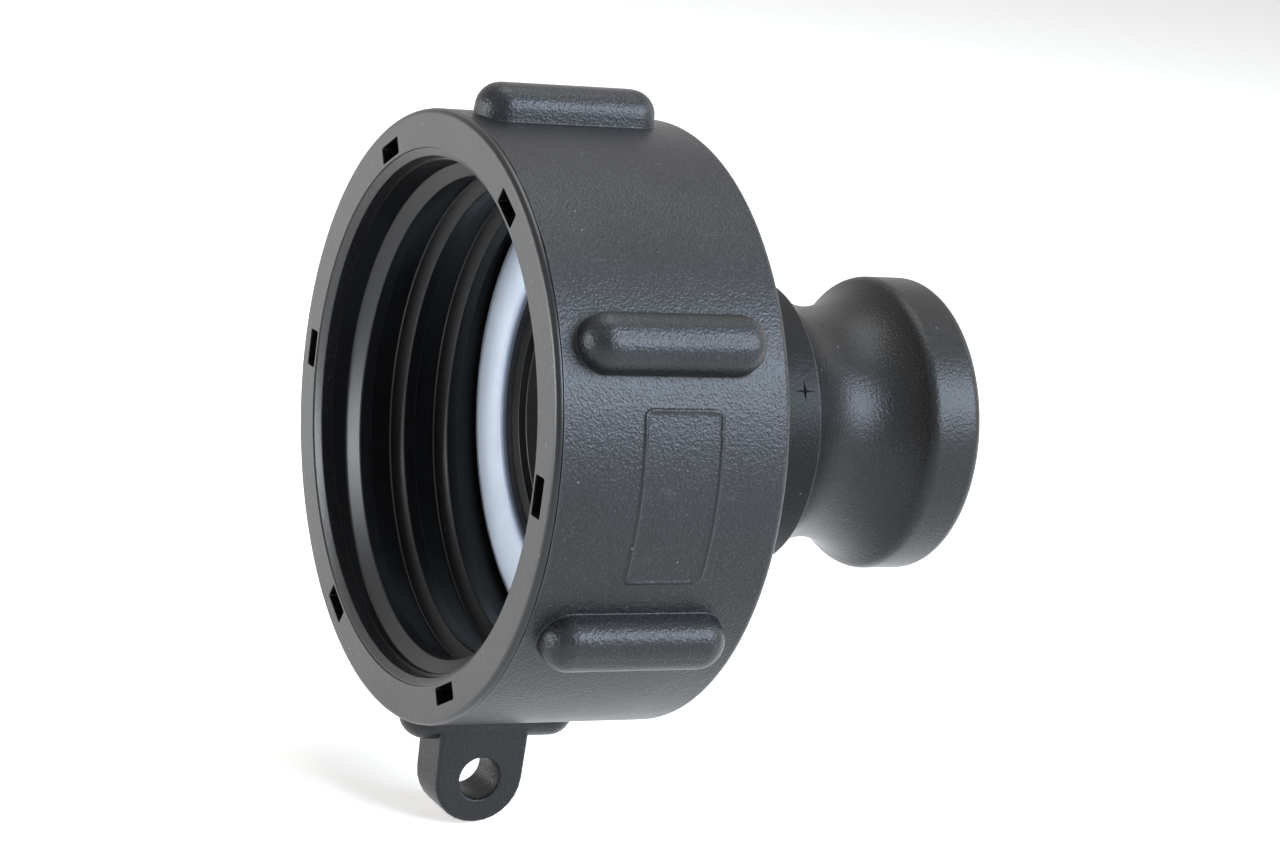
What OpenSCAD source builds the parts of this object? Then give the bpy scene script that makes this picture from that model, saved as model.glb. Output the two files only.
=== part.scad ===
/* [Union nut] */
// thickness of the nut's wall, outside the bottom of the thread's grooves
nut_wall = 5.85; // [4:0.05:10]
// length of the nut along the axis, mouth face to rear face
nut_length = 29.3; // [22:0.1:45]
// how much wider the nut is at the rear than at the mouth, in radius
wall_draft = 0.3; // [0:0.05:1]
// thickness of the rear wall that the spigot hangs in
rear_wall = 3.0; // [1.5:0.1:6]
// rounding of the outer edge at the mouth
mouth_edge_round = 0.7; // [0.3:0.05:2]
// rounding of the outer edge at the rear
rear_edge_round = 1.0; // [0.3:0.05:2]
// width of the sloping mouth lip, across the face
lip_width = 0.8; // [0.2:0.05:1.5]
// axial depth of the sloping mouth lip
lip_depth = 0.8; // [0.6:0.05:3]

/* [Tank thread] */
// major diameter of the female thread, at the bottom of its grooves
thread_major = 60.1; // [50:0.1:70]
// pitch of the coarse thread
thread_pitch = 6; // [4:0.25:8]
// radial height of the thread ridge
thread_depth = 1.7; // [1:0.05:2.4]
// width of the ridge's flat crest
crest_width = 1.5; // [0.8:0.05:2.2]
// axial run of the sloping flank that faces the mouth
lead_flank_run = 1.15; // [0.6:0.05:1.6]
// axial run of the steep flank that carries the load
load_flank_run = 0.4; // [0.2:0.05:1]
// rounding taken off the crest's edge on the mouth side
crest_break = 0.2; // [0.1:0.05:0.4]
// distance from the mouth face to the crest's edge where the angle is zero
thread_offset = 5.45; // [4.5:0.05:7]
// distance from the pilot wall to the crest's edge where the ridge starts
thread_entry = 0.75; // [0.5:0.05:2]
// distance from the end of the ridge to the gasket
thread_relief = 0.7; // [0.3:0.05:4]
// angle over which the ridge rises at its start and sinks at its end
thread_fade_angle = 35; // [15:5:60]
// how much wider the plain pilot wall is than the thread's grooves, in radius
pilot_step = 0.35; // [0.1:0.05:0.55]
// axial length of the plain pilot wall
pilot_length = 1.4; // [0.8:0.05:2]

/* [Grip ribs] */
// angle of the four side ribs, above and below the nut's middle plane
side_rib_angle = 27; // [20:0.5:40]
// distance from the mouth face to the ribs
rib_front_margin = 2.6; // [1:0.1:6]
// distance from the ribs to the rear face
rib_rear_margin = 3.5; // [1:0.1:6]
// width of a rib
rib_width = 6.9; // [4.6:0.1:10]
// height of a rib above the nut's wall
rib_height = 3.85; // [1.5:0.05:5]
// rounding of a rib's top edges
rib_edge_round = 2.2; // [0.8:0.1:3]

/* [Face pockets] */
// number of pockets in the mouth face
pocket_count = 6; // [3:1:12]
// width of a pocket, along the rim
pocket_width = 4.5; // [2:0.1:7]
// height of a pocket, across the rim
pocket_height = 2.05; // [1:0.05:3]
// land between a pocket and the edge of the mouth
pocket_land = 0.5; // [0.1:0.05:1]
// depth of a pocket
pocket_depth = 10; // [4:0.5:20]

/* [Lug] */
// distance from the nut's wall to the middle of the lug's hole
lug_reach = 8.55; // [6:0.05:14]
// distance from the mouth face to the middle of the lug's hole
lug_middle = 12.85; // [10:0.05:18]
// radius of the lug's round end
lug_end_radius = 5.65; // [4.5:0.05:7]
// width of the lug where it leaves the nut
lug_root_width = 11.9; // [10:0.1:16]
// thickness of the lug
lug_thickness = 6.2; // [4:0.1:8]
// diameter of the hole through the lug
lug_hole_diameter = 5.3; // [3:0.1:7]

/* [Spigot] */
// outside diameter of the coupling end
tip_diameter = 36.7; // [31:0.05:42]
// distance from the middle of the locking groove to the spigot's end
tip_length = 15.3; // [13:0.1:20]
// rounding of the spigot's end
tip_round = 1.6; // [0.6:0.1:3]
// rounding between the groove and the coupling end
land_round = 2.0; // [1:0.1:3]
// radius of the locking groove's curve
groove_radius = 10.5; // [8:0.1:13]
// smallest diameter in the locking groove
waist_diameter = 28.7; // [26:0.1:31]
// distance from the nut's rear face to the middle of the locking groove
groove_distance = 22.9; // [18:0.1:40]
// outside diameter of the neck between the nut and the groove
neck_diameter = 35.4; // [31:0.1:42]
// rounding between the neck and the groove
neck_rim_round = 0.4; // [0.2:0.05:1]
// diameter of the straight flow bore
bore_diameter = 23.2; // [18:0.1:24.5]
// bevel of the flow bore at the spigot's end
bore_bevel = 0.8; // [0.3:0.1:1.5]
// wall of the collar inside the gasket, down to the flow path
collar_wall = 3.45; // [2.5:0.05:6]
// width of the collar's flat front face
collar_face = 1.85; // [1:0.05:2.3]
// how far the collar stays behind the gasket's front face
collar_drop = 0.8; // [0.3:0.05:1.5]
// length of the funnel from the collar to the straight bore
funnel_length = 7.7; // [5:0.1:14]
// thickness of the flange inside the nut
flange_thickness = 2.85; // [1.5:0.05:5]

/* [Gasket] */
// inside diameter of the gasket
gasket_id = 43.6; // [40:0.1:48]
// thickness of the gasket
gasket_thickness = 2.0; // [1.5:0.1:4]
// rounding of the gasket's inner edge
gasket_round = 0.4; // [0.2:0.05:0.7]
// width of the bevel around the gasket's front face
gasket_bevel_width = 1.2; // [0.5:0.05:2]
// depth of the bevel around the gasket's front face
gasket_bevel_depth = 0.3; // [0.1:0.05:1]

/* [Fits] */
// radial gap between the spigot's shoulder and the nut's rear hole
swivel_gap = 0.06; // [0.02:0.01:0.09]
// axial gap between the flange and the nut's rear wall
seat_gap = 0.05; // [0.02:0.01:0.2]
// radial gap between the gasket and the spigot's collar
collar_gap = 0.05; // [0.02:0.01:0.3]
// how far the spigot's shoulder stands above the neck or the coupling end
shoulder_rise = 0.3; // [0.1:0.05:1]
// radial gap between the flange and the thread's crests
flange_gap = 0.2; // [0.1:0.05:1]
// radial gap between the gasket and the bottom of the thread's grooves
gasket_gap = 0.65; // [0.3:0.05:2]

/* [Hidden] */
root_radius = thread_major / 2;
crest_radius = root_radius - thread_depth;
nut_radius = root_radius + nut_wall;
pilot_radius = root_radius + pilot_step;
pilot_end = lip_depth + pilot_length;
mouth_radius = pilot_radius + lip_width;
chamber_end = nut_length - rear_wall;

tip_radius = tip_diameter / 2;
neck_radius = neck_diameter / 2;
waist_radius = waist_diameter / 2;
bore_radius = bore_diameter / 2;
shoulder_radius = max(tip_radius, neck_radius) + shoulder_rise;
shoulder_proud = 0.4;
shoulder_end = nut_length + shoulder_proud;
rear_hole_radius = shoulder_radius + swivel_gap;
groove_middle = nut_length + groove_distance;
groove_centre_radius = waist_radius + groove_radius;
tip_end = groove_middle + tip_length;

flange_back = chamber_end - seat_gap;
flange_front = flange_back - flange_thickness;
flange_radius = crest_radius - flange_gap;
gasket_front = flange_front - gasket_thickness;
gasket_outer = root_radius - gasket_gap;
gasket_inner = gasket_id / 2;
collar_radius = gasket_inner - collar_gap;
collar_front = gasket_front + collar_drop;
collar_mouth_radius = collar_radius - collar_face;
entry_radius = collar_radius - collar_wall;
entry_bevel = 0.35;
collar_slope = 0.3;
slope_end = collar_front + collar_slope;
funnel_front = slope_end + entry_bevel;

rib_length = nut_length - rib_front_margin - rib_rear_margin;
rib_middle = rib_front_margin + rib_length / 2;
rib_angles = [
    side_rib_angle, 90, 180 - side_rib_angle,
    180 + side_rib_angle, 270, 360 - side_rib_angle
];
rib_foot = 3;
join_depth = 1;
pocket_inner = mouth_radius + pocket_land;
lug_hole_drop = nut_radius + lug_reach;
cut_past = 1;

thread_bury = 0.6;
thread_step = 7.5;
ridge_width = crest_width + load_flank_run;
thread_start_angle = 360 * (pilot_end + thread_entry - thread_offset) / thread_pitch;
thread_end_angle = 360 * (gasket_front - thread_relief - ridge_width - thread_offset) / thread_pitch;
thread_sections = round((thread_end_angle - thread_start_angle) / thread_step);
$fn = 96;

// The ridge's cross-section, as [distance along the axis, radius] from the crest's mouth-side edge.
ridge_depth = thread_depth + thread_bury;
lead_slope = lead_flank_run / thread_depth;
load_slope = load_flank_run / thread_depth;
buried_radius = root_radius + thread_bury;
ridge_section = [
    [-lead_slope * ridge_depth, buried_radius],
    [-lead_slope * crest_break, crest_radius + crest_break],
    [crest_break, crest_radius],
    [crest_width, crest_radius],
    [crest_width + load_slope * ridge_depth, buried_radius]
];
section_points = len(ridge_section);
// the share of the full height that stays, so that both ends lie inside the wall
least_share = 0.5 * thread_bury / ridge_depth;

function rise_share(angle) = min(1,
    (angle - thread_start_angle) / thread_fade_angle,
    (thread_end_angle - angle) / thread_fade_angle);

function height_share(angle) = least_share + (1 - least_share) * max(0, rise_share(angle));

function ridge_radius(radius, angle) = buried_radius - (buried_radius - radius) * height_share(angle);

function ridge_x(along, angle) = thread_offset + along + thread_pitch * angle / 360;

function section_angle(i) = thread_start_angle
    + (thread_end_angle - thread_start_angle) * i / thread_sections;

function ridge_point(p, angle) = [
    ridge_x(p[0], angle),
    ridge_radius(p[1], angle) * cos(angle),
    ridge_radius(p[1], angle) * sin(angle)
];

ridge_points = [
    for (i = [0:thread_sections])
        for (p = ridge_section)
            ridge_point(p, section_angle(i))
];

function corner(i, k) = i * section_points + k % section_points;

ridge_sides = [
    for (i = [0:thread_sections - 1])
        for (k = [0:section_points - 1])
            for (half = [0, 1])
                half == 0
                    ? [corner(i, k), corner(i + 1, k + 1), corner(i, k + 1)]
                    : [corner(i, k), corner(i + 1, k), corner(i + 1, k + 1)]
];

ridge_first_end = [for (k = [0:section_points - 1]) corner(0, k)];
ridge_last_end = [for (k = [section_points - 1:-1:0]) corner(thread_sections, k)];

module along_x() {
    rotate([90, 0, 90]) children();
}

// a solid turned round the X axis from a profile drawn as [radius, distance along X]
module turned() {
    along_x() rotate_extrude() children();
}

module thread_ridge() {
    polyhedron(
        points = ridge_points,
        faces = concat(ridge_sides, [ridge_first_end], [ridge_last_end]),
        convexity = 10
    );
}

// the nut's outside, as [radius, distance along X]: two rounded edges and the wall that touches both
mouth_edge = [nut_radius - mouth_edge_round, mouth_edge_round];
rear_edge = [nut_radius + wall_draft - rear_edge_round, nut_length - rear_edge_round];
edge_run = rear_edge - mouth_edge;
wall_tilt = atan2(edge_run[0], edge_run[1])
    - asin((mouth_edge_round - rear_edge_round) / norm(edge_run));
wall_normal = [cos(wall_tilt), -sin(wall_tilt)];

module nut_body_profile() {
    difference() {
        union() {
            polygon([
                [0, 0],
                [mouth_edge[0], 0],
                mouth_edge + mouth_edge_round * wall_normal,
                rear_edge + rear_edge_round * wall_normal,
                [rear_edge[0], nut_length],
                [0, nut_length]
            ]);
            translate(mouth_edge) circle(r = mouth_edge_round);
            translate(rear_edge) circle(r = rear_edge_round);
        }
        nut_hollow_profile();
    }
}

module nut_hollow_profile() {
    lip_widening = lip_width * cut_past / lip_depth;
    polygon([
        [-cut_past, -cut_past],
        [mouth_radius + lip_widening, -cut_past],
        [pilot_radius, lip_depth],
        [pilot_radius, pilot_end],
        [root_radius, pilot_end],
        [root_radius, chamber_end],
        [rear_hole_radius, chamber_end],
        [rear_hole_radius, nut_length + cut_past],
        [-cut_past, nut_length + cut_past]
    ]);
}

// a rib's cross-section, as [distance from its middle, height]
module rib_profile() {
    half_width = rib_width / 2;
    full_height = rib_foot + rib_height;
    inset = half_width - rib_edge_round;
    translate([-inset, 0]) square([2 * inset, full_height]);
    translate([-half_width, 0]) square([rib_width, full_height - rib_edge_round]);
    for (side = [-inset, inset])
        translate([side, full_height - rib_edge_round]) circle(r = rib_edge_round);
}

module rib_end() {
    rotate_extrude() intersection() {
        rib_profile();
        square([rib_width, rib_foot + rib_height]);
    }
}

module rib() {
    straight = rib_length - rib_width;
    wall_radius = nut_radius + rib_middle * tan(wall_tilt);
    translate([rib_middle, 0, wall_radius - rib_foot]) rotate([0, -wall_tilt, 0]) {
        translate([-straight / 2, 0, 0]) {
            rib_end();
            rotate([90, 0, 90]) linear_extrude(straight) rib_profile();
        }
        translate([straight / 2, 0, 0]) rib_end();
    }
}

module ribs() {
    for (angle = rib_angles)
        rotate([angle - 90, 0, 0]) rib();
}

// the lug's outline, seen from the side, as [distance along X, height]
module lug_outline() {
    root_height = -(nut_radius - rib_foot);
    polygon([
        [lug_middle - lug_root_width / 2, root_height],
        [lug_middle + lug_root_width / 2, root_height],
        [lug_middle + lug_end_radius, -lug_hole_drop],
        [lug_middle - lug_end_radius, -lug_hole_drop]
    ]);
}

module lug() {
    translate([0, lug_thickness / 2, 0]) rotate([90, 0, 0]) {
        linear_extrude(lug_thickness) lug_outline();
        translate([lug_middle, -lug_hole_drop, 0])
            cylinder(r = lug_end_radius, h = lug_thickness);
    }
}

module lug_hole() {
    translate([lug_middle, lug_thickness, -lug_hole_drop]) rotate([90, 0, 0])
        cylinder(d = lug_hole_diameter, h = 2 * lug_thickness);
}

module pockets() {
    for (i = [0:pocket_count - 1])
        rotate([i * 360 / pocket_count, 0, 0])
            translate([-cut_past, pocket_inner, -pocket_width / 2])
                cube([pocket_depth + cut_past, pocket_height, pocket_width]);
}

module union_nut() {
    color([0.12, 0.12, 0.13]) difference() {
        union() {
            difference() {
                union() {
                    turned() nut_body_profile();
                    difference() {
                        union() {
                            ribs();
                            lug();
                        }
                        turned() square([nut_radius - join_depth, nut_length]);
                    }
                }
                pockets();
            }
            thread_ridge();
        }
        lug_hole();
    }
}

// how far along the axis a small rounding of the given radius starts from the groove's middle,
// where it runs out of the groove's curve and on to a wall of the given radius
function blend_run(rounding, wall_radius) = sqrt(
    pow(groove_radius + rounding, 2)
    - pow(groove_centre_radius - wall_radius + rounding, 2));

// the radius at which the groove's curve and that rounding touch
function blend_radius(rounding, wall_radius) = groove_centre_radius
    - (groove_centre_radius - wall_radius + rounding) * groove_radius / (groove_radius + rounding);

neck_end = groove_middle - blend_run(neck_rim_round, neck_radius);
land_start = groove_middle + blend_run(land_round, tip_radius);

// a wall of the given radius with a rounded corner, from one place along the axis to another
module rounded_wall(radius, rounding, from, to) {
    translate([0, from]) square([radius, to - rounding - from]);
    translate([0, from]) square([radius - rounding, to - from]);
    translate([radius - rounding, to - rounding]) circle(r = rounding);
}

// what lies under the groove's curve, between the two roundings
module groove_floor() {
    neck_side = blend_radius(neck_rim_round, neck_radius);
    land_side = blend_radius(land_round, tip_radius);
    difference() {
        polygon([
            [0, neck_end],
            [neck_side, neck_end],
            [neck_side, groove_middle],
            [land_side, groove_middle],
            [land_side, land_start],
            [0, land_start]
        ]);
        translate([groove_centre_radius, groove_middle]) circle(r = groove_radius);
    }
}

module spigot_outline() {
    translate([0, flange_front]) square([flange_radius, flange_thickness]);
    translate([0, collar_front]) square([collar_radius, flange_back - collar_front]);
    translate([0, flange_back]) square([shoulder_radius, shoulder_end - flange_back]);
    rounded_wall(neck_radius, neck_rim_round, flange_back, neck_end + neck_rim_round);
    groove_floor();
    translate([tip_radius - land_round, land_start]) circle(r = land_round);
    rounded_wall(tip_radius, tip_round, land_start, tip_end);
}

module flow_bore_profile() {
    polygon([
        [-cut_past, collar_front - cut_past],
        [collar_mouth_radius, collar_front - cut_past],
        [collar_mouth_radius, collar_front],
        [entry_radius + entry_bevel, slope_end],
        [entry_radius, funnel_front],
        [bore_radius, funnel_front + funnel_length],
        [bore_radius, tip_end - bore_bevel],
        [bore_radius + bore_bevel, tip_end],
        [bore_radius + bore_bevel, tip_end + cut_past],
        [-cut_past, tip_end + cut_past]
    ]);
}

module spigot() {
    color([0.15, 0.15, 0.16]) turned() difference() {
        spigot_outline();
        flow_bore_profile();
    }
}

module gasket() {
    inner = gasket_inner + gasket_round;
    near = gasket_front + gasket_round;
    color([0.86, 0.88, 0.9]) turned() {
        polygon([
            [inner, gasket_front],
            [gasket_outer - gasket_bevel_width, gasket_front],
            [gasket_outer, gasket_front + gasket_bevel_depth],
            [gasket_outer, flange_front],
            [gasket_inner, flange_front],
            [gasket_inner, near]
        ]);
        translate([inner, near]) circle(r = gasket_round);
    }
}

union_nut();
spigot();
gasket();
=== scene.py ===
import math

import bmesh
import bpy
from mathutils import Matrix, Vector, noise


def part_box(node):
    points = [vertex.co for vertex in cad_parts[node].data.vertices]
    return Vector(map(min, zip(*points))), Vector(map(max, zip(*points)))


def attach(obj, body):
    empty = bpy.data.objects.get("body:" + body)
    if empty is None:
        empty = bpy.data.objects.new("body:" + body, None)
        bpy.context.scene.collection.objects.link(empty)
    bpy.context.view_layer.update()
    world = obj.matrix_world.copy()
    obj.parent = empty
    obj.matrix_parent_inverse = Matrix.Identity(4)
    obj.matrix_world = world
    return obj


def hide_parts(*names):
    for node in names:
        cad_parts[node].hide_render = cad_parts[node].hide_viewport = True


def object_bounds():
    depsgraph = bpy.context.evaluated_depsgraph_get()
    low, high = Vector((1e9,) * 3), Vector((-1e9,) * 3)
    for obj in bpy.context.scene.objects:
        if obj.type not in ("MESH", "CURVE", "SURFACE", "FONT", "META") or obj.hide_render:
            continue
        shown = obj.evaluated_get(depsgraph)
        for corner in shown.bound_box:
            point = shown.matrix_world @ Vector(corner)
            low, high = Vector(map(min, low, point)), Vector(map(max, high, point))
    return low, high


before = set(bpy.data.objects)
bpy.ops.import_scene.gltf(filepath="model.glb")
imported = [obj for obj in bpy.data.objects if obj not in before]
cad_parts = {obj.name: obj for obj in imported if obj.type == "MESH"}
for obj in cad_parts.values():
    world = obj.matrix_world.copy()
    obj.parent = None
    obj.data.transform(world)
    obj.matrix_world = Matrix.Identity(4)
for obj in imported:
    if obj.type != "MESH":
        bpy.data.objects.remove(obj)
cad_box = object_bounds()

# Camera. A long lens on the mouth's side of the part, a little above its axis and rolled
# slightly, as in the photograph.
camera_data = bpy.data.cameras.new("camera")
camera_data.lens = 88.37
camera_data.sensor_width = 36.0
camera_data.clip_start = 0.01
camera = bpy.data.objects.new("camera", camera_data)
bpy.context.collection.objects.link(camera)
camera_place = Vector((-0.1523, -0.3228, 0.0868))
camera_right = Vector((0.87825, -0.45854, 0.13574))
camera_up = Vector((-0.00962, 0.26685, 0.96369))
camera_turn = Matrix((camera_right, camera_up, camera_right.cross(camera_up))).transposed()
camera.matrix_world = Matrix.Translation(camera_place) @ camera_turn.to_4x4()
bpy.context.scene.camera = camera
bpy.context.scene.view_settings.view_transform = "Standard"

# Union nut. One black polypropylene moulding with a coarse tank thread, six grip ribs and a lug.
# It was moulded on a core that screws out, and the eroded tool left a fine grain on its wall and
# ribs. Its rear wall holds the spigot, which turns in it.
millimetre = 0.001
nut_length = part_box("union_nut")[1][0] / millimetre
mouth_wall_radius = 35.9
wall_draft = 0.3
mouth_edge_round = 0.7
rear_edge_round = 1.0
lip_radius = 31.2
lip_step = 0.2
lip_depth = 0.8
pilot_radius = 30.4
pilot_end = 2.2
root_radius = 30.05
chamber_end = nut_length - 3.0
rear_hole_radius = 18.71
thread_pitch = 6.0
thread_depth = 1.7
crest_width = 1.5
lead_run = 1.15
load_run = 0.4
thread_offset = 5.45
thread_start_angle = -150
thread_end_angle = 801
thread_fade_angle = 35
rib_angles = [27, 90, 152, 207, 270, 333]
rib_middle = 14.1
rib_half_width = 3.4
rib_core = 8.0
rib_height = 3.83
rib_edge_round = 2.9
rib_foot_round = 0.16
rib_draft = 0.06
rib_patch_angle = 8.5
seam_distance = 0.95
seam_height = 0.05
seam_groove = 0.12
seam_rag_angle = 134
wall_start = 1.5
wall_end = nut_length - rear_edge_round
row_step = 0.6
column_angle = 2.0
arc_step = math.radians(13)
merge_distance = 1e-7
sharp_angle = math.radians(38)


def rounded_path(corners):
    """A path through corners given as (along, out, rounding), with an arc at each rounding."""
    path = []
    for place, (along, out, rounding) in enumerate(corners):
        corner = Vector((along, out))
        if rounding == 0:
            path.append(corner)
            continue
        before = (Vector(corners[place - 1][:2]) - corner).normalized()
        after = (Vector(corners[(place + 1) % len(corners)][:2]) - corner).normalized()
        half_angle = before.angle(after) / 2
        middle = corner + (before + after).normalized() * rounding / math.sin(half_angle)
        reach = corner + before * rounding / math.tan(half_angle) - middle
        turning = (math.pi - 2 * half_angle) * math.copysign(1, after.cross(before))
        steps = max(2, math.ceil(abs(turning) / arc_step))
        for step in range(steps + 1):
            path.append(middle + Matrix.Rotation(turning * step / steps, 2) @ reach)
    return path


def at_angle(along, radius, angle):
    turn = math.radians(angle)
    return Vector((along, radius * math.cos(turn), radius * math.sin(turn))) * millimetre


def new_shell():
    return {"points": [], "faces": []}


def add_grid(shell, rows, loop=False):
    """Join neighbouring rows of points by four-sided faces; a loop also joins each row's ends."""
    first = len(shell["points"])
    width = len(rows[0])
    for row in rows:
        shell["points"].extend(row)
    for row in range(len(rows) - 1):
        for place in range(width if loop else width - 1):
            near = first + row * width + place
            far = first + row * width + (place + 1) % width
            shell["faces"].append((near, far, far + width, near + width))


def add_cap(shell, row):
    first = len(shell["points"])
    shell["points"].extend(row)
    shell["faces"].append(tuple(range(first, first + len(row))))


def shell_object(name, shell):
    mesh = bpy.data.meshes.new(name)
    mesh.from_pydata(shell["points"], [], shell["faces"])
    welded = bmesh.new()
    welded.from_mesh(mesh)
    bmesh.ops.remove_doubles(welded, verts=welded.verts, dist=merge_distance)
    bmesh.ops.dissolve_degenerate(welded, edges=welded.edges, dist=merge_distance)
    bmesh.ops.recalc_face_normals(welded, faces=welded.faces)
    welded.to_mesh(mesh)
    welded.free()
    made = bpy.data.objects.new(name, mesh)
    bpy.context.collection.objects.link(made)
    return made


def combined(base, other, operation):
    """The base joined with the other shell or cut by it; the other object is used up."""
    step = base.modifiers.new(operation.lower(), "BOOLEAN")
    step.operation = operation
    step.object = other
    step.solver = "MANIFOLD"
    bpy.context.view_layer.update()
    seen = base.evaluated_get(bpy.context.evaluated_depsgraph_get())
    result = bpy.data.meshes.new_from_object(seen)
    base.modifiers.remove(step)
    base.data = result
    bpy.data.objects.remove(other)


def finish_mesh(piece, finish_of):
    """Shade smoothly up to the sharp edges and give each face the finish that finish_of names."""
    shaded = bmesh.new()
    shaded.from_mesh(piece.data)
    for face in shaded.faces:
        face.smooth = True
        face.material_index = finish_of(face.calc_center_median() / millimetre, face.normal)
    for edge in shaded.edges:
        edge.smooth = len(edge.link_faces) == 2 and edge.calc_face_angle(0) < sharp_angle
    shaded.to_mesh(piece.data)
    shaded.free()
    weighted = piece.modifiers.new("even_shading", "WEIGHTED_NORMAL")
    weighted.keep_sharp = True


def wall_radius(along):
    return mouth_wall_radius + wall_draft * along / nut_length


def seam_rise(angle):
    """Height of the parting line's flash, which is slightly ragged and torn at one place."""
    turn = math.radians(angle)
    ragged = noise.noise(Vector((math.cos(turn), math.sin(turn), 0.3)) * 14)
    torn = math.exp(-((angle % 360 - seam_rag_angle) / 1.6) ** 2)
    return seam_height * (0.6 + 0.8 * ragged) + 0.3 * torn


nut_angles = []
for place, rib_angle in enumerate(rib_angles):
    patch_end = rib_angle + rib_patch_angle
    next_start = (rib_angles + [rib_angles[0] + 360])[place + 1] - rib_patch_angle
    patch_steps = 10
    gap_steps = round((next_start - patch_end) / column_angle)
    for step in range(patch_steps):
        nut_angles.append(rib_angle + rib_patch_angle * (2 * step / patch_steps - 1))
    for step in range(gap_steps):
        nut_angles.append(patch_end + (next_start - patch_end) * step / gap_steps)
nut_angles.append(nut_angles[0] + 360)

wall_steps = round((wall_end - wall_start) / row_step)
wall_places = [wall_start + (wall_end - wall_start) * s / wall_steps for s in range(wall_steps + 1)]

# The frame line is a fine raised rectangle on the wall between two ribs, with nothing in it. The
# wall has extra rows and columns of points along its four sides.
frame_span = (10.9, 20.4)
frame_angles = (163.4, 194.8)
frame_corner = 0.8
frame_half_width = 0.26
frame_height = 0.15
frame_offsets = (-0.34, -0.2, -0.1, 0, 0.1, 0.2, 0.34)
angle_arc = math.radians(1) * wall_radius(frame_span[0])


def without_near(places, lines, gap):
    return [place for place in places if min(abs(place - line) for line in lines) > gap]


wall_places = without_near(wall_places, frame_span, 0.45)
wall_places = sorted(wall_places + [f + o for f in frame_span for o in frame_offsets])
nut_angles = without_near(nut_angles, frame_angles, 0.45 / angle_arc)
nut_angles = sorted(nut_angles + [f + o / angle_arc for f in frame_angles for o in frame_offsets])


def frame_rise(along, angle):
    """How far the frame line stands above the wall at a place on it."""
    half_length = (frame_span[1] - frame_span[0]) / 2
    half_width = (frame_angles[1] - frame_angles[0]) / 2 * angle_arc
    across = (angle % 360 - sum(frame_angles) / 2) * angle_arc
    out = Vector((
        abs(along - sum(frame_span) / 2) - half_length + frame_corner,
        abs(across) - half_width + frame_corner,
    ))
    if min(out) < 0:
        away = max(out) - frame_corner
    else:
        away = out.length - frame_corner
    return frame_height * max(0.0, 1 - (away / frame_half_width) ** 2)


def wall_point(along, angle):
    return at_angle(along, wall_radius(along) + frame_rise(along, angle), angle)

mouth_path = rounded_path([
    (pilot_end, pilot_radius, 0),
    (lip_depth, pilot_radius, 0.2),
    (lip_step, lip_radius, 0),
    (lip_step, lip_radius + 0.1, 0),
    (0, lip_radius + 0.18, 0),
    (0, 33.5, 0),
    (0, mouth_wall_radius, mouth_edge_round),
    (seam_distance - 0.2, wall_radius(seam_distance), 0),
    (seam_distance - 0.13, wall_radius(seam_distance) - seam_groove, 0),
    (seam_distance - 0.06, wall_radius(seam_distance), 0),
])
rear_path = rounded_path([
    (wall_end, wall_radius(wall_end), 0),
    (nut_length, wall_radius(nut_length), rear_edge_round * 0.98),
    (nut_length, 27.0, 0),
    (nut_length, rear_hole_radius, 0.25),
    (chamber_end, rear_hole_radius, 0.1),
    (chamber_end, 24.0, 0),
    (chamber_end, root_radius, 0),
])
rear_path[0] = Vector((wall_end, wall_radius(wall_end)))

ridge_half_gap = (thread_pitch - crest_width - lead_run - load_run) / 2
ridge_start = -lead_run - ridge_half_gap
ridge_path = rounded_path([
    (ridge_start, 0, 0),
    (-lead_run, 0, 0.35),
    (0, thread_depth, 0.3),
    (crest_width, thread_depth, 0.12),
    (crest_width + load_run, 0, 0.3),
    (ridge_start + thread_pitch, 0, 0),
])


def ridge_height(run):
    """Height of the thread's ridge at a run along the axis from its crest's mouth-side edge."""
    for near, far in zip(ridge_path, ridge_path[1:]):
        if run <= far.x:
            return near.y + (far.y - near.y) * (run - near.x) / (far.x - near.x)
    return 0.0


def thread_radius(along, angle):
    run = along - thread_offset - thread_pitch * angle / 360
    turns = math.floor((run - ridge_start) / thread_pitch)
    ridge_angle = angle + 360 * turns
    from_ends = min(ridge_angle - thread_start_angle, thread_end_angle - ridge_angle)
    share = max(0.0, min(1.0, from_ends / thread_fade_angle))
    share = share * share * (3 - 2 * share)
    return root_radius - share * ridge_height(run - thread_pitch * turns)


def thread_column(angle):
    column = []
    for turns in range(-3, 6):
        for place in ridge_path[:-1]:
            along = thread_offset + thread_pitch * (angle / 360 + turns) + place.x
            along = max(pilot_end, min(chamber_end, along))
            column.append(at_angle(along, thread_radius(along, angle), angle))
    return column


def mouth_column(angle):
    column = [at_angle(pilot_end, thread_radius(pilot_end, angle), angle)]
    column += [at_angle(place.x, place.y, angle) for place in mouth_path]
    crest = wall_radius(seam_distance) + seam_rise(angle)
    column.append(at_angle(seam_distance - 0.03, crest, angle))
    column.append(at_angle(seam_distance + 0.03, crest, angle))
    column.append(at_angle(seam_distance + 0.1, wall_radius(seam_distance), angle))
    column.append(at_angle(wall_start, wall_radius(wall_start), angle))
    return column


rib_inset = rib_half_width - rib_edge_round - rib_draft
rib_rings = [(0, rib_height, True), (rib_inset * 0.6, rib_height, True)]
for step in range(9):
    lean = math.radians(90 * step / 8)
    rib_rings.append((
        rib_inset + rib_edge_round * math.sin(lean),
        rib_height - rib_edge_round * (1 - math.cos(lean)),
        True,
    ))
for step in range(5):
    lean = math.radians(90 * step / 4)
    rib_rings.append((
        rib_half_width + rib_foot_round * (1 - math.cos(lean)),
        rib_foot_round * (1 - math.sin(lean)),
        False,
    ))


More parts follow.
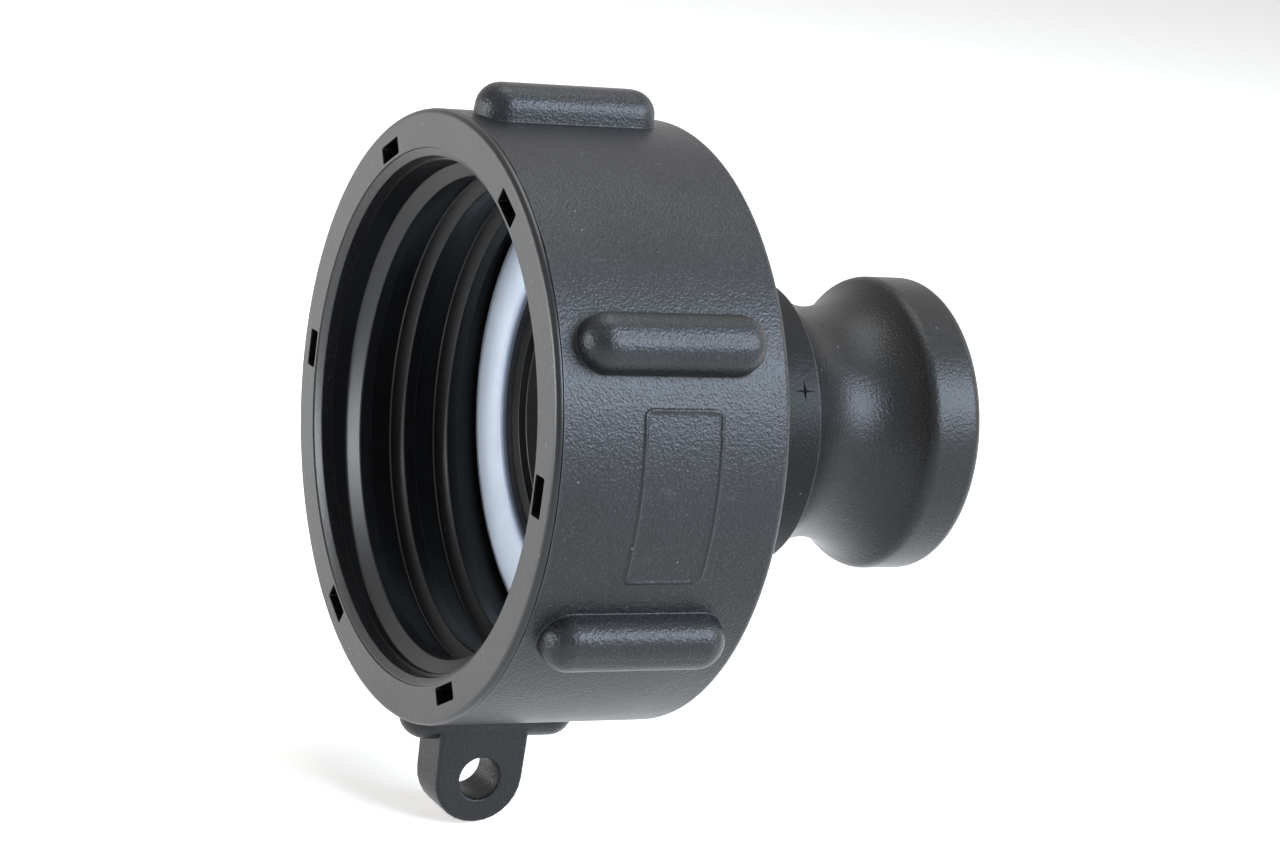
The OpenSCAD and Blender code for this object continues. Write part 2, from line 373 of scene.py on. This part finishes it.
def rib_patch(shell, rib_angle):
    """A stretch of the wall with one rib: stadium-shaped rings from the rib's top to its foot,
    and on to the straight borders of the stretch."""
    here = wall_radius(rib_middle)
    shares = [2 * step / 10 - 1 for step in range(11)]
    border = [(wall_start, rib_patch_angle * share) for share in shares[:-1]]
    border += [(along, rib_patch_angle) for along in wall_places[:-1]]
    border += [(wall_end, -rib_patch_angle * share) for share in shares[:-1]]
    border += [(along, -rib_patch_angle) for along in reversed(wall_places[1:])]
    rows = [[] for _ in range(len(rib_rings) + 3)]
    for along, aside in border:
        run = along - rib_middle
        core = max(-rib_core, min(rib_core, run))
        away = Vector((run - core, math.radians(aside) * here))
        out = away.normalized()
        for row, (offset, height, level) in enumerate(rib_rings):
            place = rib_middle + core + out.x * offset
            across = out.y * offset
            if level:
                up = wall_radius(place) + height
                angle = math.degrees(math.atan2(across, up))
                rows[row].append(at_angle(place, math.hypot(up, across), rib_angle + angle))
            else:
                angle = math.degrees(across / here)
                rows[row].append(at_angle(place, wall_radius(place) + height, rib_angle + angle))
        foot = rib_rings[-1][0]
        for row, share in enumerate((0.3, 0.65)):
            offset = foot + share * (away.length - foot)
            place = rib_middle + core + out.x * offset
            angle = rib_angle + math.degrees(out.y * offset / here)
            rows[len(rib_rings) + row].append(at_angle(place, wall_radius(place), angle))
        rows[-1].append(at_angle(along, wall_radius(along), rib_angle + aside))
    add_grid(shell, rows, loop=True)


nut_shell = new_shell()
add_grid(nut_shell, [mouth_column(angle) for angle in nut_angles])
add_grid(nut_shell, [thread_column(angle) for angle in nut_angles])
add_grid(nut_shell, [[at_angle(p.x, p.y, angle) for p in rear_path] for angle in nut_angles])
for near, far in zip(nut_angles, nut_angles[1:]):
    middle = (near + far) / 2
    if min(abs((middle - rib + 180) % 360 - 180) for rib in rib_angles) < rib_patch_angle:
        continue
    add_grid(nut_shell, [
        [wall_point(along, angle) for along in wall_places] for angle in (near, far)
    ])
for rib_angle in rib_angles:
    rib_patch(nut_shell, rib_angle)
union_nut = shell_object("nut_moulding", nut_shell)

# Lug. It is part of the nut's moulding and hangs from its lowest rib, with a round hole for a
# tether or a seal wire. Its edges are rounded, and its root flares into the wall.
lug_middle = 12.85
lug_hole_drop = 44.45
lug_half_thickness = 3.1
lug_hole_radius = 2.65
lug_edge_round = 0.45
hole_edge_round = 0.3
hole_columns = 64


def evenly(route, gap):
    """A closed route's points, with more of them where two lie further apart than the gap."""
    fine = []
    for place, point in enumerate(route):
        following = route[(place + 1) % len(route)]
        parts = max(1, round((following - point).length / gap))
        fine += [point.lerp(following, part / parts) for part in range(parts)]
    return fine


def lug_shell():
    outline = evenly(rounded_path([
        (lug_middle - 4, -33.4, 0),
        (lug_middle - 7.6, -35.3, 0),
        (lug_middle - 5.95, -36.25, 0.9),
        (lug_middle - 5.62, -50.08, 5.62),
        (lug_middle + 5.62, -50.08, 5.62),
        (lug_middle + 5.95, -36.25, 0.9),
        (lug_middle + 7.6, -35.3, 0),
        (lug_middle + 4, -33.4, 0),
    ]), 0.5)
    middle = Vector((lug_middle, -lug_hole_drop))
    edge_rows = []
    for step in range(5):
        lean = math.radians(90 * step / 4)
        edge_rows.append((
            lug_half_thickness - lug_edge_round * (1 - math.sin(lean)),
            lug_edge_round * (1 - math.cos(lean)),
        ))
    rings = [(-side, inset) for side, inset in reversed(edge_rows)] + edge_rows
    rows = []
    for side, inset in rings:
        row = []
        for place, point in enumerate(outline):
            ahead = outline[(place + 1) % len(outline)] - outline[place - 1]
            outward = Vector((ahead.y, -ahead.x)).normalized()
            if outward.dot(point - middle) < 0:
                outward.negate()
            moved = point - outward * inset
            row.append(Vector((moved.x, side, moved.y)) * millimetre)
        rows.append(row)
    shell = new_shell()
    add_grid(shell, rows, loop=True)
    add_cap(shell, rows[0])
    add_cap(shell, rows[-1])
    return shell


def lug_hole_shell():
    """The pin that leaves the lug's hole, with its two flared ends."""
    path = [(-lug_half_thickness - 0.5, lug_hole_radius + 2 * hole_edge_round)]
    for step in range(5):
        lean = math.radians(90 * step / 4)
        path.append((
            -lug_half_thickness + hole_edge_round * (1 - math.cos(lean)),
            lug_hole_radius + hole_edge_round * (1 - math.sin(lean)),
        ))
    path += [(-side, radius) for side, radius in reversed(path)]
    turns = [2 * math.pi * column / hole_columns for column in range(hole_columns)]
    rows = [
        [Vector((
            lug_middle + radius * math.cos(turn), side, -lug_hole_drop + radius * math.sin(turn)
        )) * millimetre for turn in turns]
        for side, radius in path
    ]
    shell = new_shell()
    add_grid(shell, rows, loop=True)
    add_cap(shell, rows[0])
    add_cap(shell, rows[-1])
    return shell


combined(union_nut, shell_object("lug_blank", lug_shell()), "UNION")
combined(union_nut, shell_object("lug_hole_pin", lug_hole_shell()), "DIFFERENCE")

# Pockets in the nut's mouth face. Six deep rectangular holes keep the wall's thickness even, so
# that the moulding doesn't sink; the core's pins leave them with small corner roundings.
pocket_count = 6
pocket_inner = 31.7
pocket_height = 2.05
pocket_half_width = 2.25
pocket_depth = 10.0
pocket_corner = 0.22
pocket_taper = 0.96


def pocket_shell():
    shell = new_shell()
    outline = rounded_path([
        (-pocket_half_width, -pocket_height / 2, pocket_corner),
        (pocket_half_width, -pocket_height / 2, pocket_corner),
        (pocket_half_width, pocket_height / 2, pocket_corner),
        (-pocket_half_width, pocket_height / 2, pocket_corner),
    ])
    middle = pocket_inner + pocket_height / 2
    for pocket in range(pocket_count):
        turn = Matrix.Rotation(2 * math.pi * pocket / pocket_count, 3, "X")
        rows = []
        for along, size in ((-1.0, 1.06), (0.0, 1.03), (0.15, 1.0), (pocket_depth, pocket_taper)):
            rows.append([
                turn @ Vector((along, middle + p.y * size, p.x * size)) * millimetre
                for p in outline
            ])
        add_grid(shell, rows, loop=True)
        add_cap(shell, rows[0])
        add_cap(shell, rows[-1])
    return shell


combined(union_nut, shell_object("pocket_pins", pocket_shell()), "DIFFERENCE")

# The nut's finishes. The wall and ribs have the tool's spark grain, the face and lip are smoother
# from handling and a polished plate, and the thread inside is smooth from its turning core. The
# face's lighter base colour is painted sheen, and the darkest finish is painted shade on the thread
# inside, in the pockets and on the mouth's rounded edge.
def shader_group(name, inputs, outputs):
    """A new shader node group; inputs are (name, default) pairs and outputs are names."""
    group = bpy.data.node_groups.new(name, "ShaderNodeTree")
    for title, default in inputs:
        socket = group.interface.new_socket(title, in_out="INPUT", socket_type="NodeSocketFloat")
        socket.default_value = default
    for title in outputs:
        group.interface.new_socket(title, in_out="OUTPUT", socket_type="NodeSocketFloat")
    return group, group.nodes.new("NodeGroupInput"), group.nodes.new("NodeGroupOutput")


def joined(tree, kind, settings, inputs):
    """A new node in the tree, with its settings, and its inputs set or linked."""
    made = tree.nodes.new(kind)
    for title, value in settings.items():
        setattr(made, title, value)
    for title, value in inputs.items():
        if isinstance(value, bpy.types.NodeSocket):
            tree.links.new(value, made.inputs[title])
        else:
            made.inputs[title].default_value = value
    return made


def maths(tree, operation, first, second=0.0):
    made = joined(tree, "ShaderNodeMath", {"operation": operation}, {0: first, 1: second})
    return made.outputs[0]


def between(tree, value, low, high, least=0.0, most=1.0):
    """The value mapped from low..high to least..most, and held inside them."""
    made = joined(tree, "ShaderNodeMapRange", {}, {
        "Value": value, "From Min": low, "From Max": high, "To Min": least, "To Max": most})
    return made.outputs["Result"]


def grain_group():
    """Spark grain: small rounded pits of a given size, and the glints of their walls."""
    group, given, result = shader_group(
        "spark_grain", [("Size", 0.00024)], ["Height", "Glint"])
    place = group.nodes.new("ShaderNodeTexCoord").outputs["Object"]
    scale = maths(group, "DIVIDE", 1.0, given.outputs["Size"])
    fine = joined(group, "ShaderNodeTexNoise", {}, {
        "Vector": place, "Scale": scale, "Detail": 2.5, "Roughness": 0.55})
    coarse = joined(group, "ShaderNodeTexNoise", {}, {
        "Vector": place, "Scale": maths(group, "MULTIPLY", scale, 0.42), "Detail": 1.0})
    pits = joined(group, "ShaderNodeTexVoronoi", {"feature": "F1"}, {
        "Vector": place, "Scale": maths(group, "MULTIPLY", scale, 0.75)})
    height = maths(group, "ADD", maths(group, "MULTIPLY", fine.outputs["Fac"], 0.55),
                   maths(group, "MULTIPLY", coarse.outputs["Fac"], 0.35))
    height = maths(group, "ADD", height,
                   maths(group, "MULTIPLY", pits.outputs["Distance"], 0.35))
    group.links.new(height, result.inputs["Height"])
    glint = between(group, fine.outputs["Fac"], 0.56, 0.74)
    group.links.new(glint, result.inputs["Glint"])
    return group


def handling_group():
    """Handling: broad patches of polish, thin scratches, and a few pale specks of dust."""
    group, given, result = shader_group(
        "handling", [("Scratches", 0.5), ("Specks", 0.5)], ["Patch", "Scratch", "Speck"])
    place = group.nodes.new("ShaderNodeTexCoord").outputs["Object"]
    patch = joined(group, "ShaderNodeTexNoise", {}, {
        "Vector": place, "Scale": 70.0, "Detail": 4.0, "Roughness": 0.62})
    group.links.new(between(group, patch.outputs["Fac"], 0.36, 0.66), result.inputs["Patch"])
    bent = joined(group, "ShaderNodeTexNoise", {}, {"Vector": place, "Scale": 160.0, "Detail": 2.0})
    drawn = joined(group, "ShaderNodeMapping", {}, {
        "Vector": place, "Rotation": (0.5, 0.3, 0.9), "Scale": (240.0, 2600.0, 900.0)})
    shifted = joined(group, "ShaderNodeVectorMath", {"operation": "ADD"}, {
        0: drawn.outputs["Vector"], 1: bent.outputs["Color"]})
    lines = joined(group, "ShaderNodeTexNoise", {}, {
        "Vector": shifted.outputs[0], "Scale": 1.0, "Detail": 1.0})
    scratch = between(group, lines.outputs["Fac"], 0.66, 0.76)
    where = between(group, patch.outputs["Fac"], 0.5, 0.62)
    scratch = maths(group, "MULTIPLY", maths(group, "MULTIPLY", scratch, where),
                    given.outputs["Scratches"])
    group.links.new(scratch, result.inputs["Scratch"])
    dots = joined(group, "ShaderNodeTexVoronoi", {"feature": "F1"}, {
        "Vector": place, "Scale": 650.0})
    near = between(group, dots.outputs["Distance"], 0.05, 0.11, 1.0, 0.0)
    chosen = joined(group, "ShaderNodeSeparateColor", {}, {"Color": dots.outputs["Color"]})
    rare = between(group, chosen.outputs["Red"], 0.93, 0.95)
    speck = maths(group, "MULTIPLY", maths(group, "MULTIPLY", near, rare), given.outputs["Specks"])
    group.links.new(speck, result.inputs["Speck"])
    return group


spark_grain = grain_group()
handling = handling_group()


def new_material(name):
    made = bpy.data.materials.new(name)
    made.use_nodes = True
    return made, made.node_tree, made.node_tree.nodes["Principled BSDF"]


def moulded_plastic(name, dark, light, roughness, gloss, grain_size, grain_depth, marks):
    """Black moulded plastic: spark grain, patches of polish, scratches and specks of dust."""
    made, tree, shader = new_material(name)
    grain = joined(tree, "ShaderNodeGroup", {"node_tree": spark_grain}, {"Size": grain_size})
    worn = joined(tree, "ShaderNodeGroup", {"node_tree": handling}, {
        "Scratches": marks, "Specks": marks})
    # The grain's glints are painted highlights that lighten the base colour; the patches of polish
    # add a little random tone.
    tone = maths(tree, "ADD", maths(tree, "MULTIPLY", grain.outputs["Glint"], 0.85),
                 maths(tree, "MULTIPLY", worn.outputs["Patch"], 0.12))
    colour = joined(tree, "ShaderNodeMix", {"data_type": "RGBA"}, {
        "Factor": tone, 6: (*dark, 1), 7: (*light, 1)})
    marked = joined(tree, "ShaderNodeMix", {"data_type": "RGBA"}, {
        "Factor": maths(tree, "ADD", maths(tree, "MULTIPLY", worn.outputs["Scratch"], 0.12),
                        worn.outputs["Speck"]),
        6: colour.outputs[2], 7: (0.42, 0.43, 0.44, 1)})
    tree.links.new(marked.outputs[2], shader.inputs["Base Color"])
    rough = maths(tree, "ADD", roughness,
                  maths(tree, "MULTIPLY", worn.outputs["Patch"], -0.04))
    rough = maths(tree, "ADD", rough, maths(tree, "MULTIPLY", worn.outputs["Speck"], 0.3))
    tree.links.new(rough, shader.inputs["Roughness"])
    shader.inputs["IOR"].default_value = 1.49
    shader.inputs["Specular IOR Level"].default_value = gloss
    dents = joined(tree, "ShaderNodeBump", {}, {
        "Height": grain.outputs["Height"], "Strength": 0.9, "Distance": grain_depth})
    scored = joined(tree, "ShaderNodeBump", {"invert": True}, {
        "Height": worn.outputs["Scratch"], "Strength": 0.5, "Distance": 0.00002,
        "Normal": dents.outputs["Normal"]})
    tree.links.new(scored.outputs["Normal"], shader.inputs["Normal"])
    return made


nut_finishes = [
    moulded_plastic("nut_wall", (0.003, 0.003, 0.0035), (0.032, 0.033, 0.04),
                    0.4, 0.28, 0.00026, 0.00011, 0.2),
    # The face's smoother, glossier finish is real; its lighter base colour is a painted sheen.
    moulded_plastic("nut_face_painted_sheen", (0.014, 0.0135, 0.0135), (0.034, 0.033, 0.033),
                    0.38, 0.38, 0.00045, 0.00003, 0.25),
    # The darkest finish is painted shade on the thread inside, the pockets and the mouth's rounded
    # edge.
    moulded_plastic("nut_painted_shade", (0.002, 0.002, 0.0025), (0.005, 0.005, 0.006),
                    0.36, 0.36, 0.0006, 0.00001, 0.1),
]


def nut_finish(place, normal):
    radius = math.hypot(place.y, place.z)
    # The thread inside gets the darkest finish, as painted shade in the recess.
    if radius < root_radius + 0.5 and pilot_end - 0.1 < place.x < nut_length - 0.1:
        return 2
    # The mouth's rounded edge gets the darkest finish too, as painted shade.
    if radius > mouth_wall_radius - mouth_edge_round and 0.05 < place.x < seam_distance - 0.06:
        return 2
    # The face and lip get the finish whose lighter base colour is a painted sheen.
    if radius < mouth_wall_radius + 0.5 and place.x < seam_distance:
        return 1
    # The pockets get the darkest finish, as painted shade in their depth.
    if pocket_inner - 1 < radius < 35 and place.x < pocket_depth + 0.5:
        return 2
    return 0


union_nut.data.materials.clear()
for finish in nut_finishes:
    union_nut.data.materials.append(finish)
finish_mesh(union_nut, nut_finish)
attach(union_nut, "nut")
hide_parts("union_nut")

# Spigot. One black polypropylene moulding: a flange held inside the nut, a shoulder that turns in
# the nut's rear hole, a neck, and the grooved coupling end. Its tool was smoother than the nut's,
# and left a fine seam along both sides and a small cross of flash by the neck's rim.
spigot_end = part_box("spigot")[1][0] / millimetre
flange_front = 23.4
flange_back = 26.25
flange_radius = 28.15
collar_front = 22.2
collar_radius = 21.75
shoulder_radius = 18.65
shoulder_end = 29.7
neck_radius = 17.7
tip_radius = 18.35
groove_middle = 52.2
groove_radius = 10.5
groove_height = 24.85
rim_round = 0.4
land_round = 2.0
bore_radius = 11.6
spigot_columns = 180


def arc_path(middle, radius, start, end):
    """Points of an arc, with its angles in radians."""
    steps = max(3, math.ceil(abs(end - start) / math.radians(4)))
    turns = [start + (end - start) * step / steps for step in range(steps + 1)]
    return [middle + radius * Vector((math.cos(turn), math.sin(turn))) for turn in turns]


def groove_blend(wall, rounding, side):
    """Middle of the rounding between a wall and the locking groove, on one side of the groove."""
    rise = groove_height - (wall - rounding)
    run = math.sqrt((groove_radius + rounding) ** 2 - rise ** 2)
    return Vector((groove_middle + side * run, wall - rounding))


def groove_path():
    centre = Vector((groove_middle, groove_height))
    rim = groove_blend(neck_radius, rim_round, -1)
    land = groove_blend(tip_radius, land_round, 1)
    towards_rim = math.atan2(centre.y - rim.y, centre.x - rim.x)
    towards_land = math.atan2(centre.y - land.y, centre.x - land.x)
    path = arc_path(rim, rim_round, math.pi / 2, towards_rim)
    path += arc_path(centre, groove_radius, towards_rim + math.pi, towards_land + math.pi)[1:]
    return path + arc_path(land, land_round, towards_land, math.pi / 2)[1:]


front_corners = rounded_path([
    (22.5, 18.65, 0.1),
    (collar_front, 19.9, 0.12),
    (collar_front, collar_radius, 0.2),
    (flange_front, collar_radius, 0),
    (flange_front, flange_radius, 0.3),
    (flange_back, flange_radius, 0.3),
    (flange_back, shoulder_radius, 0),
    (shoulder_end, shoulder_radius, 0.12),
    (shoulder_end, neck_radius, 0.15),
    (groove_middle - 8.5, neck_radius, 0),
])
end_corners = rounded_path([
    (spigot_end - 5.5, tip_radius, 0),
    (spigot_end, tip_radius, 1.6),
    (spigot_end, bore_radius + 0.8, 0.1),
    (spigot_end - 0.8, bore_radius, 0.3),
    (30.55, bore_radius, 2.0),
    (22.85, 18.3, 0.2),
])
neck_end = groove_path()[0].x
spigot_path = front_corners + groove_path() + end_corners


def turned_shell(path, columns):
    shell = new_shell()
    rows = [[at_angle(p.x, p.y, 360 * column / columns) for p in path]
            for column in range(columns + 1)]
    add_grid(shell, rows, loop=True)
    return shell


spigot = shell_object("spigot_moulding", turned_shell(spigot_path, spigot_columns))

# Marks of the spigot's tool: a torn four-pointed star of flash beside the neck's rim, and two
# small pits in the groove.
flash_place = (42.4, 153.3)
flash_reach = 1.7
flash_waist = 0.28
flash_rise = 0.28
pit_places = [(56.9, 244.5, 17.15), (57.9, 232, 17.9), (50, 112, 14.6)]
pit_radius = 0.24


def flash_star():
    along, angle = flash_place
    arc = math.radians(1) * neck_radius
    rim = []
    for point in range(8):
        turn = math.radians(45 * point)
        reach = flash_waist if point % 2 else flash_reach
        rim.append(at_angle(
            along + reach * math.cos(turn), neck_radius - 0.05, angle + reach * math.sin(turn) / arc))
    shell = new_shell()
    shell["points"] = rim + [
        at_angle(along, neck_radius + flash_rise, angle), at_angle(along, neck_radius - 0.6, angle)]
    for point in range(8):
        shell["faces"].append((point, (point + 1) % 8, 8))
        shell["faces"].append(((point + 1) % 8, point, 9))
    return shell


def pit_shell():
    shell = new_shell()
    for along, angle, radius in pit_places:
        first = len(shell["points"])
        middle = at_angle(along, radius, angle)
        for axis in (Vector((1, 0, 0)), Vector((0, 1, 0)), Vector((0, 0, 1))):
            shell["points"] += [middle + axis * pit_radius * millimetre,
                                middle - axis * pit_radius * millimetre]
        for x in (0, 1):
            for y in (2, 3):
                for z in (4, 5):
                    corners = (first + x, first + y, first + z)
                    shell["faces"].append(corners if (x + y + z) % 2 == 0 else corners[::-1])
    return shell


combined(spigot, shell_object("flash_star", flash_star()), "UNION")
combined(spigot, shell_object("pit_points", pit_shell()), "DIFFERENCE")
spigot.data.materials.clear()

spigot_finishes = [
    moulded_plastic("spigot_skin", (0.003, 0.0028, 0.0026), (0.026, 0.025, 0.026),
                    0.4, 0.24, 0.00025, 0.00008, 0.2),
    # The flange and collar inside the nut, and the bore, get a darker finish as painted shade.
    moulded_plastic("spigot_inside_painted_shade", (0.0015, 0.0014, 0.0014), (0.004, 0.004, 0.004),
                    0.34, 0.3, 0.0006, 0.00001, 0.1),
    # The shoulder and neck get a darker, duller finish: painted shade beside the nut's rear wall.
    moulded_plastic("spigot_neck_painted_shade", (0.003, 0.0028, 0.0026), (0.018, 0.017, 0.018),
                    0.46, 0.12, 0.00025, 0.00008, 0.2),
]


def spigot_finish(place, normal):
    # Painted shade: the parts inside the nut and the bore take the darker finish.
    if place.x < flange_back or place.yz.length < bore_radius + 0.3:
        return 1
    # The shoulder and neck next to the nut take the painted shade finish.
    return 2 if place.x < neck_end - 0.3 else 0


for finish in spigot_finishes:
    spigot.data.materials.append(finish)
finish_mesh(spigot, spigot_finish)
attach(spigot, "outlet")
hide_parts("spigot")

# Gasket. A flat ring of bluish white rubber, cut with a slightly rounded inner edge. It lies on
# the spigot's flange, round its collar, and the tank valve's end presses on it.
gasket_front = 21.4
gasket_inner = 21.8
gasket_outer = 29.4
gasket_columns = 180

gasket_path = rounded_path([
    (gasket_front, gasket_inner, 0.65),
    (gasket_front, 28.2, 0.5),
    (gasket_front + 0.3, gasket_outer, 0.08),
    (flange_front, gasket_outer, 0),
    (flange_front, gasket_inner, 0),
])
gasket = shell_object("gasket_ring", turned_shell(gasket_path, gasket_columns))


def gasket_rubber():
    made, tree, shader = new_material("gasket_rubber")
    worn = joined(tree, "ShaderNodeGroup", {"node_tree": handling}, {
        "Scratches": 0.2, "Specks": 0.6})
    bloom = joined(tree, "ShaderNodeMix", {"data_type": "RGBA"}, {
        "Factor": worn.outputs["Patch"], 6: (0.6, 0.655, 0.74, 1), 7: (0.7, 0.75, 0.83, 1)})
    place = joined(tree, "ShaderNodeSeparateXYZ", {}, {
        0: tree.nodes.new("ShaderNodeTexCoord").outputs["Object"]})
    radius = maths(tree, "SQRT", maths(
        tree, "ADD",
        maths(tree, "MULTIPLY", place.outputs["Y"], place.outputs["Y"]),
        maths(tree, "MULTIPLY", place.outputs["Z"], place.outputs["Z"])))
    # Painted shade: the base colour darkens to a blue grey towards the inner edge.
    inner_edge_shade = between(tree, radius, gasket_inner * millimetre,
                       (gasket_inner + 0.9) * millimetre, 0.85, 0.0)
    edge_shaded = joined(tree, "ShaderNodeMix", {"data_type": "RGBA"}, {
        "Factor": inner_edge_shade, 6: bloom.outputs[2], 7: (0.3, 0.36, 0.47, 1)})
    soiled = joined(tree, "ShaderNodeMix", {"data_type": "RGBA"}, {
        "Factor": worn.outputs["Speck"], 6: edge_shaded.outputs[2], 7: (0.25, 0.26, 0.28, 1)})
    tree.links.new(soiled.outputs[2], shader.inputs["Base Color"])
    rough = between(tree, worn.outputs["Patch"], 0.0, 1.0, 0.42, 0.55)
    tree.links.new(rough, shader.inputs["Roughness"])
    grain = joined(tree, "ShaderNodeGroup", {"node_tree": spark_grain}, {"Size": 0.0005})
    skin = joined(tree, "ShaderNodeBump", {}, {
        "Height": grain.outputs["Height"], "Strength": 0.5, "Distance": 0.00001})
    tree.links.new(skin.outputs["Normal"], shader.inputs["Normal"])
    return made


gasket.data.materials.append(gasket_rubber())
finish_mesh(gasket, lambda place, normal: 0)
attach(gasket, "outlet")
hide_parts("gasket")

# Floor and light. A pale matt floor just under the lug, and soft boxes such as a small-product
# table has: one high at the left, one overhead, one behind each end.
floor_half = 4.0
floor_drop = 0.0005


def background_seen(tree, to_camera, to_reflections):
    """The strengths at which the white background shows to the camera, and in clear reflections
    and glass."""
    seen = tree.nodes.new("ShaderNodeLightPath").outputs
    mirrored = maths(tree, "MAXIMUM", seen["Is Glossy Ray"], seen["Is Transmission Ray"])
    return maths(tree, "MAXIMUM", maths(tree, "MULTIPLY", seen["Is Camera Ray"], to_camera),
                 maths(tree, "MULTIPLY", mirrored, to_reflections))


def floor_material():
    made, tree, shader = new_material("pale_floor")
    shader.inputs["Base Color"].default_value = (0.88, 0.86, 0.83, 1)
    shader.inputs["Roughness"].default_value = 0.9
    shader.inputs["Specular IOR Level"].default_value = 0.1
    lift = background_seen(tree, 0.55, 0.9)
    glow = joined(tree, "ShaderNodeEmission", {}, {"Color": (1, 0.975, 0.95, 1), "Strength": lift})
    both = tree.nodes.new("ShaderNodeAddShader")
    tree.links.new(shader.outputs[0], both.inputs[0])
    tree.links.new(glow.outputs[0], both.inputs[1])
    tree.links.new(both.outputs[0], tree.nodes["Material Output"].inputs["Surface"])
    return made


floor_height = cad_box[0][2] - floor_drop
floor_mesh = bpy.data.meshes.new("floor")
floor_corners = [(-1, -1), (1, -1), (1, 1), (-1, 1)]
floor_mesh.from_pydata(
    [(x * floor_half, y * floor_half, floor_height) for x, y in floor_corners], [], [(0, 1, 2, 3)])
floor = bpy.data.objects.new("floor", floor_mesh)
floor_mesh.materials.append(floor_material())
bpy.context.collection.objects.link(floor)

world = bpy.data.worlds.new("studio")
bpy.context.scene.world = world
world.use_nodes = True
world_tree = world.node_tree
world_light = world_tree.nodes["Background"]
world_light.inputs["Color"].default_value = (0.86, 0.93, 1.0, 1)
world_light.inputs["Strength"].default_value = 0.17
world_seen = joined(world_tree, "ShaderNodeBackground", {}, {"Color": (1, 1, 1, 1), "Strength": 1.0})
world_mix = world_tree.nodes.new("ShaderNodeMixShader")
world_tree.links.new(background_seen(world_tree, 1.0, 1.0), world_mix.inputs[0])
world_tree.links.new(world_light.outputs[0], world_mix.inputs[1])
world_tree.links.new(world_seen.outputs[0], world_mix.inputs[2])
world_tree.links.new(world_mix.outputs[0], world_tree.nodes["World Output"].inputs["Surface"])

part_middle = Vector((0.03, 0, 0))


def soft_box(name, place, size, power, colour=(1, 1, 1)):
    lamp_data = bpy.data.lights.new(name, "AREA")
    lamp_data.shape = "RECTANGLE"
    lamp_data.size, lamp_data.size_y = size
    lamp_data.energy = power
    lamp_data.color = colour
    lamp = bpy.data.objects.new(name, lamp_data)
    bpy.context.collection.objects.link(lamp)
    lamp.location = place
    towards = part_middle - lamp.location
    lamp.rotation_euler = towards.to_track_quat("-Z", "Y").to_euler()
    lamp.visible_camera = False
    return lamp


soft_box("front_window", (0.5, -0.66, 0.42), (0.6, 0.46), 18.5, (0.72, 0.84, 1.0))
soft_box("high_left_box", (-0.55, -0.45, 0.65), (0.4, 0.4), 0.4)
soft_box("overhead_box", (0.15, 0.05, 0.9), (0.7, 0.5), 6, (0.94, 0.97, 1.0))
soft_box("mouth_box", (-0.85, 0.12, 0.08), (0.3, 0.3), 6.5, (0.9, 0.95, 1.0))
soft_box("back_left_box", (-0.65, 0.5, 0.0), (0.6, 0.2), 2.5)
soft_box("spigot_side_box", (0.75, 0.1, 0.3), (0.3, 0.6), 1)
